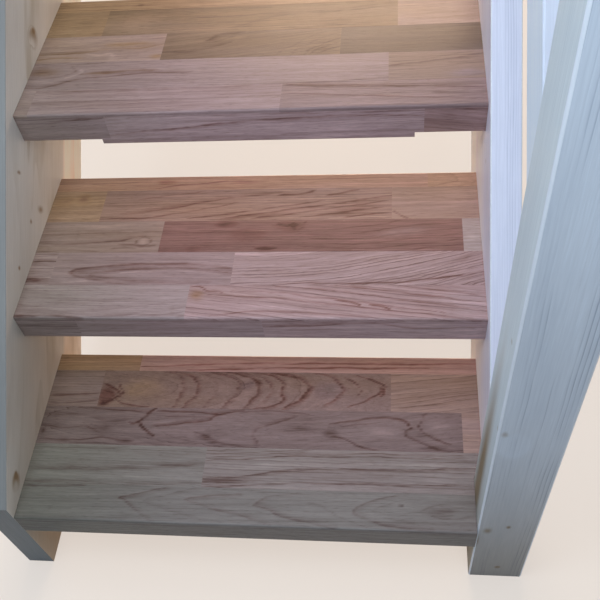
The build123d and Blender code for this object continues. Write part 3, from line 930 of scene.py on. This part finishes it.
hardwood = tread_material("hardwood")
face_woods = {}
for node in treads:
    rows = tread_rows.get(node)
    edges = second_tread_edges if node == "tread_2" else row_edges
    dice = random.Random("joints of " + node)
    steps = fine_step
    if rows is None:
        steps = coarse_step
        rows = chance_rows(dice, row_edges)
    face_row = tread_faces.get(node) or chance_row(dice, *face_edges)
    face_woods[node] = tread_piece(node, rows, face_row, edges, hardwood, steps)
strip_piece("tread_3_underside_strip", face_woods["tread_3"], hardwood)

dice = random.Random("joints of the landing")
landing_rows = chance_rows(dice, landing_edges)
tread_piece("landing_nosing", landing_rows, chance_row(dice, *face_edges), landing_edges, hardwood,
            coarse_step)

# White-glazed pine

natural_glaze = linear(206, 204, 199)
bright_glaze = linear(224, 231, 253)
right_inner_lit_glaze = linear(228, 228, 247)
handrail_glaze = linear(204, 213, 229)
rail_glaze = linear(212, 223, 242)
rail_inner_lit_glaze = linear(224, 240, 255)
newel_glaze = linear(202, 213, 229)
newel_left_lit_glaze = linear(206, 221, 230)
arris_highlight_glaze = linear(226, 234, 246)
dark_top_edge_glaze = linear(136, 138, 138)
shaded_plumb_cut_glaze = linear(118, 122, 126)
end_grain_glaze = linear(166, 170, 176)
hanger_glaze = linear(180, 176, 168)
peg_glaze = linear(182, 168, 148)
natural_line = (0.70, 0.65, 0.56)
white_line = (0.62, 0.65, 0.70)
glazed_knot = (0.40, 0.27, 0.15)
painted_back_light = (1.65, 1.48, 1.38)
brightest = (0.93, 0.93, 0.93)


def pine_material(name, glaze, along, across, pith, spacing, contrast, marks=(), line_tint=white_line,
                  back_lit_below=None):
    """Pine under a thin glaze, with its grain along one direction. Below a place across the grain,
    where one is given, painted warm light from behind makes it warmer and paler, fading out above."""
    material, nodes, place = new_material(name)
    through = along.cross(across)
    local = nodes.joined(nodes.dot(place, tuple(along)), nodes.dot(place, tuple(across)),
                         nodes.dot(place, tuple(through)))
    dark, warm, push = nodes.parts(all_marks(nodes, local, marks))
    length, width, depth = nodes.parts(local)
    swing = nodes.sway(local, (1.6, 9, 9), 3.0)
    off_width = nodes.minus(width, pith[0])
    off_depth = nodes.minus(depth, pith[1])
    distance = nodes.length(nodes.joined(off_width, off_depth, 0.0))
    distance = nodes.times(swing, 0.02, distance)
    distance = nodes.plus(distance, push)
    rings = ringed(nodes, distance, spacing, 0.32, 11.0)
    fibre = nodes.sway(local, (16, 480, 480), 3.0, 0.62)
    streak = nodes.sway(local, (4, 130, 130), 2.0, 0.6)
    broad = nodes.sway(local, (2.2, 14, 14), 3.0)
    rubbed = nodes.noise(nodes.vector("ADD", local, (3.1, 7.7, 1.3)), (5, 18, 18), 3.0)
    rubbed = nodes.ramp(rubbed, 0.35, 0.65)
    figure = nodes.times(rings.outputs["Line"], nodes.times(rubbed, contrast))
    figure = nodes.times(fibre, 0.65, figure)
    figure = nodes.times(streak, 0.28, figure)
    figure = nodes.times(broad, 0.70, figure)
    lined = nodes.vector("MULTIPLY", glaze[:3], line_tint)
    color = nodes.mix(nodes.clamped(figure), glaze, lined)
    pale = nodes.times(nodes.math("MINIMUM", figure, 0.0), -0.45, 1.0)
    color = nodes.vector("MULTIPLY", color, nodes.joined(pale, pale, pale))
    knotted = nodes.vector("MULTIPLY", color, glazed_knot)
    color = nodes.mix(nodes.clamped(dark), color, knotted)
    # Painted light: warm light from behind the flight, below the treads' back line, and a fainter band above
    # it
    if back_lit_below is not None:
        share = nodes.ramp(width, back_lit_below - 0.016, back_lit_below + 0.004, 1.0, 0.0)
        near = nodes.ramp(width, back_lit_below + 0.03, back_lit_below + 0.16, 0.30, 0.0)
        share = nodes.math("MAXIMUM", share, near)
        color = nodes.mix(share, color, nodes.vector("MULTIPLY", color, painted_back_light))
        color = nodes.vector("MINIMUM", color, brightest)
    roughness = nodes.times(fibre, 0.2, 0.48)
    height = nodes.minus(nodes.times(fibre, 0.5), rings.outputs["Line"])
    wood_shader(nodes, material, color, roughness, height, pine_relief)
    return material


def dress(node, material, *others):
    """Gives a CAD node its material, and others to the faces whose normals ask for them."""
    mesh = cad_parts[node].data
    mesh.materials.clear()
    mesh.materials.append(material)
    for number, (other, wanted) in enumerate(others, 1):
        mesh.materials.append(other)
        for polygon in mesh.polygons:
            if wanted(polygon.normal):
                polygon.material_index = number


up = Vector((0, 0, 1))
inward = Vector((0, 1, 0))
sideways = Vector((1, 0, 0))
first_nosing = Vector((0, first_low.y, first_high.z))
stringer_top = max(off_pitch.dot(corner.co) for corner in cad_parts["left_stringer"].data.vertices)
newel_low, newel_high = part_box("bottom_newel")


def stringer_knots_and_shade(face, *knots):
    """Knots in a stringer's face, and broad dark ovals that paint shade on it, each in mm up the pitch from
    the first nosing, below the top edge, long and wide, with how dark it is and how far it pushes the rings."""
    return [knot((uphill.dot(first_nosing) + up_pitch * MM, stringer_top - below_top * MM, face),
                 (long * MM, wide * MM, 30 * MM), *effect)
            for up_pitch, below_top, long, wide, *effect in knots]


def newel_knots_and_shade(*knots):
    """Knots in the bottom newel, and broad dark ovals that paint shade on it, each in mm up from the foot
    and in from the left face and the front, with its size, how dark it is and how far it pushes the rings."""
    return [knot((height * MM, newel_low.y + from_front * MM, -newel_low.x - from_left * MM),
                 tuple(part * MM for part in size), *effect)
            for height, from_left, from_front, size, *effect in knots]


left_knots_and_shade = stringer_knots_and_shade(
    left_face, (55, 33, 20, 17, 1.5, 0.006), (52, 33, 15, 13, -1.1), (64, 33, 8, 7, 0.7),
    (764, 95, 23, 22, 1.6, 0.006), (760, 95, 18, 17, -1.2), (778, 97, 9, 10, 0.6),
    # Painted shade: the two broad ovals darken the stringer's inner face towards its foot
    (-60, 180, 260, 240, 0.70), (230, 130, 360, 280, 0.44), (387, 45, 6, 6, 0.95), (463, 87, 6, 6, 0.85),
    (537, 45, 4, 10, 0.90), (487, 123, 10, 15, 0.75), (1130, 60, 12, 11, 0.5, 0.006),
    (1500, 140, 11, 11, 0.5, 0.006))
right_knots = stringer_knots_and_shade(right_face, (545, 60, 6, 5, 0.7))
right_knots += stringer_knots_and_shade(right_face + 0.02, (700, 12, 8, 8, 0.4, 0.004))
right_knots += stringer_knots_and_shade(right_face, (1010, 110, 12, 11, 0.5, 0.006), (1390, 70, 10, 10, 0.5, 0.006))
bottom_newel_knots_and_shade = newel_knots_and_shade(
    (646, 0, 20, (6, 5, 8), 0.65, 0.003), (487, 0, 5, (10, 5, 6), 0.5),
    (41, 42, 0, (9, 20, 6), 0.5, 0.004), (205, 42, 0, (8, 20, 5), 0.6, 0.004),
    (189, 14, 0, (16, 10, 9), 0.45, 0.004), (148, 2, 0, (34, 7, 4), 0.5),
    (452, 22, 0, (40, 8, 26), -0.30), (484, 9, 0, (10, 7, 6), 0.5, 0.003),
    # Painted shade: the last two broad ovals darken the lower newel, the second on the back of its left face
    (900, 84, 50, (9, 9, 20), 0.5, 0.004), (-60, 42, 42, (640, 330, 330), 0.80),
    (300, 0, 50, (380, 34, 150), 0.80))


def is_arris(normal):
    """True for the eased edges, whose faces lean between two flat faces."""
    return max(abs(normal.dot(axis)) for axis in (sideways, inward, up, uphill, off_pitch)) < 0.99


def is_top_edge(normal):
    return normal.dot(off_pitch) > 0.3


def is_plumb_cut(normal):
    return normal.dot(inward) < -0.99


def is_inner(normal):
    return normal.dot(sideways) < -0.99


def is_head(normal):
    return normal.dot(up) > 0.99


pitched = (uphill, off_pitch)
# Painted highlight: the eased edges get a whiter glaze for the light they catch
arris = pine_material("arris_highlight_pine", arris_highlight_glaze, up, inward, (0.0, 0.9), 0.0050, 0.2)
# The left stringer's top edge gets a darker, greyer glaze
dark_top_edge = pine_material("dark_top_edge_pine", dark_top_edge_glaze, *pitched, (0.02, 0.09), 0.0050, 0.5)
# Painted shade: the left stringer's front plumb cut gets a dark glaze, as it stands in shade at the foot
plumb_cut = pine_material("plumb_cut_shade_pine", shaded_plumb_cut_glaze, up, sideways, (0.02, 0.09), 0.0050, 0.5)
end_grain = pine_material("end_grain_pine", end_grain_glaze, sideways, up, (0.0, 0.0), 0.0030, 0.8)
tread_back = off_pitch.dot(Vector((0, first_high.y, first_high.z)))
outer = pine_material("left_stringer_pine", natural_glaze, *pitched, (0.02, 0.86), 0.0055, 1.1,
                      left_knots_and_shade, natural_line, tread_back)
dress("left_stringer", outer, (dark_top_edge, is_top_edge), (plumb_cut, is_plumb_cut))
outer = pine_material("right_stringer_pine", bright_glaze, *pitched, (0.30, -0.50), 0.0036, 0.7, right_knots)
# Painted light: the right stringer's inner face has its own glaze for the light on that side
inner = pine_material("right_stringer_inner_lit_pine", right_inner_lit_glaze, *pitched, (0.30, -0.50), 0.0050, 0.8,
                      right_knots, natural_line, tread_back)
dress("right_stringer", outer, (arris, is_arris), (inner, is_inner))
outer = pine_material("mid_rail_pine", rail_glaze, *pitched, (0.50, 0.12), 0.0050, 0.6)
# Painted light: the rail's inner face has its own brighter, bluer glaze for the light from the left
inner = pine_material("mid_rail_inner_lit_pine", rail_inner_lit_glaze, *pitched, (0.50, 0.12), 0.0050, 0.5)
dress("mid_rail", outer, (inner, is_inner))
dress("handrail", pine_material("handrail_pine", handrail_glaze, *pitched, (0.90, 0.15), 0.0045, 0.6))
outer = pine_material("bottom_newel_pine", newel_glaze, up, inward, (0.00, 0.70), 0.0052, 1.35,
                      bottom_newel_knots_and_shade)
# Painted light: the newel's left face has its own greener glaze for the light that falls on that side, and
# grain of its own
inner = pine_material("bottom_newel_left_lit_pine", newel_left_lit_glaze, up, inward, (0.60, 0.0), 0.0052, 0.35,
                      bottom_newel_knots_and_shade)
dress("bottom_newel", outer, (arris, is_arris), (inner, is_inner), (end_grain, is_head))
outer = pine_material("top_newel_pine", newel_glaze, up, inward, (1.5, 0.80), 0.0052, 1.35)
dress("top_newel", outer, (arris, is_arris), (end_grain, is_head))
outer = pine_material("hanger_board_pine", hanger_glaze, sideways, up, (1.0, -1.4), 0.0060, 0.5,
                      line_tint=natural_line)
dress("hanger_board", outer)
peg_material = pine_material("peg_pine", peg_glaze, sideways, up, (0.0, 0.0), 0.0020, 0.6)
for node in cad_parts:
    if "peg" in node:
        dress(node, peg_material)

# Stage: a plain pale floor, soft light and the photograph's camera

floor_size = 40.0
floor_color = linear(218, 214, 208)
glow_color = linear(250, 240, 232)
floor_glow = 0.6
world_color = linear(228, 236, 246)
world_strength = 0.20


def make_floor():
    mesh = bpy.data.meshes.new("floor")
    half = floor_size / 2
    corners = [(-half, -half, 0), (half, -half, 0), (half, half, 0), (-half, half, 0)]
    mesh.from_pydata(corners, [], [(0, 1, 2, 3)])
    material = bpy.data.materials.new("floor")
    material.use_nodes = True
    shader = material.node_tree.nodes["Principled BSDF"]
    shader.inputs["Base Color"].default_value = floor_color
    shader.inputs["Roughness"].default_value = 0.7
    nodes = Nodes(material.node_tree)
    path = nodes.add("ShaderNodeLightPath").node
    seen = path.outputs["Is Camera Ray"]
    glow = nodes.add("ShaderNodeEmission", {"Color": glow_color})
    look = nodes.add("ShaderNodeMixShader", {0: nodes.times(seen, floor_glow),
                                             1: shader.outputs[0], 2: glow})
    material.node_tree.links.new(look, material.node_tree.nodes["Material Output"].inputs["Surface"])
    mesh.materials.append(material)
    floor = bpy.data.objects.new("floor", mesh)
    bpy.context.scene.collection.objects.link(floor)


def make_world():
    """A pale world that gives the even part of the light and the background."""
    world = bpy.data.worlds.new("studio")
    world.use_nodes = True
    nodes = Nodes(world.node_tree)
    background = world.node_tree.nodes["Background"]
    background.inputs["Color"].default_value = world_color
    path = nodes.add("ShaderNodeLightPath").node
    seen = path.outputs["Is Camera Ray"]
    strength = nodes.times(seen, 1.0 - world_strength, world_strength)
    world.node_tree.links.new(strength, background.inputs["Strength"])
    bpy.context.scene.world = world


def softbox(name, place, target, size, power, color, spread=180):
    """A square lamp at a place in the air, turned to its target."""
    light = bpy.data.lights.new(name, "AREA")
    light.shape = "SQUARE"
    light.size = size
    light.energy = power
    light.color = color
    light.spread = math.radians(spread)
    lamp = bpy.data.objects.new(name, light)
    lamp.location = place
    lamp.rotation_euler = (Vector(target) - Vector(place)).to_track_quat("-Z", "Y").to_euler()
    bpy.context.scene.collection.objects.link(lamp)


make_floor()
make_world()
softbox("key", (-0.40, 0.50, 2.70), (-0.35, 0.45, 0.4), 1.0, 13.4, (1.0, 0.97, 0.98))
softbox("left_sky", (-0.95, -0.35, 1.90), (0.0, 0.20, 0.8), 0.5, 8.4, (0.78, 0.89, 1.0))
softbox("front_sky", (-0.35, -0.20, 2.20), (-0.30, 0.30, 0.5), 0.6, 6.4, (0.84, 0.92, 1.0))
softbox("window", (0.10, -0.60, 1.45), (0.0, 0.0, 0.8), 0.4, 3.8, (0.80, 0.92, 1.0))
softbox("hall", (-0.4, 4.4, 1.1), (-0.4, 0.6, 0.5), 1.6, 77, (1.0, 0.73, 0.50), 100)
softbox("left_fill", (-3.4, 1.2, 1.2), (-0.6, 0.8, 0.8), 2.0, 24, (0.60, 0.79, 1.0))
softbox("right_fill", (3.0, 1.6, 2.0), (-0.2, 0.8, 0.9), 2.0, 14, (0.86, 0.93, 1.0))

camera_data = bpy.data.cameras.new("camera")
camera_data.lens = 48.937
camera_data.sensor_width = 36.0
camera = bpy.data.objects.new("camera", camera_data)
camera.location = (-0.15990, -0.50586, 1.35285)
camera.rotation_euler = [math.radians(a) for a in (37.4137, 5.2835, 4.1621)]
bpy.context.scene.collection.objects.link(camera)
bpy.context.scene.camera = camera

bpy.context.scene.view_settings.view_transform = "Standard"
